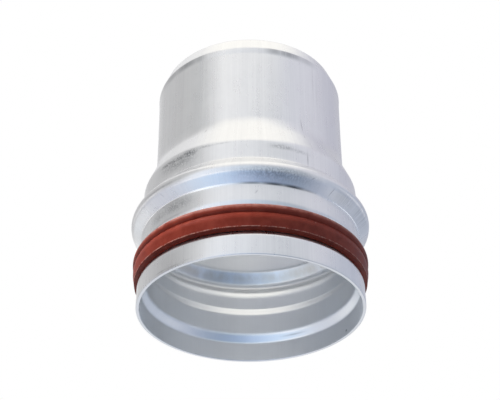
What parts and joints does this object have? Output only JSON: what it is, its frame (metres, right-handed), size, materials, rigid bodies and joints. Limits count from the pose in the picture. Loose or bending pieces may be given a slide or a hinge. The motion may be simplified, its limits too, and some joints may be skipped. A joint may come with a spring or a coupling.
{
  "type": "coaxial flue adapter",
  "caption": "Stepped round aluminium flue adapter: a wide mouth with a silicone lip seal in a rolled groove, a stop bead, a flared shoulder and a narrower neck with a lead-in.",
  "frame": {"origin": "centre of the mouth, on the plane of its rim, where the adapter stands", "axes": "+Z along the duct's axis from the mouth to the neck; X and Y are equal, because the part is turned"},
  "size_m": [0.074, 0.074, 0.0832],
  "materials": {
    "drawn_aluminium": "bare drawn aluminium, satin, with fine drawing lines",
    "red_silicone": "red-brown moulded silicone, slightly glossy"
  },
  "bodies": {
    "root": {"adapter_body": "drawn_aluminium", "lip_seal": "red_silicone"}
  },
  "joints": []
}
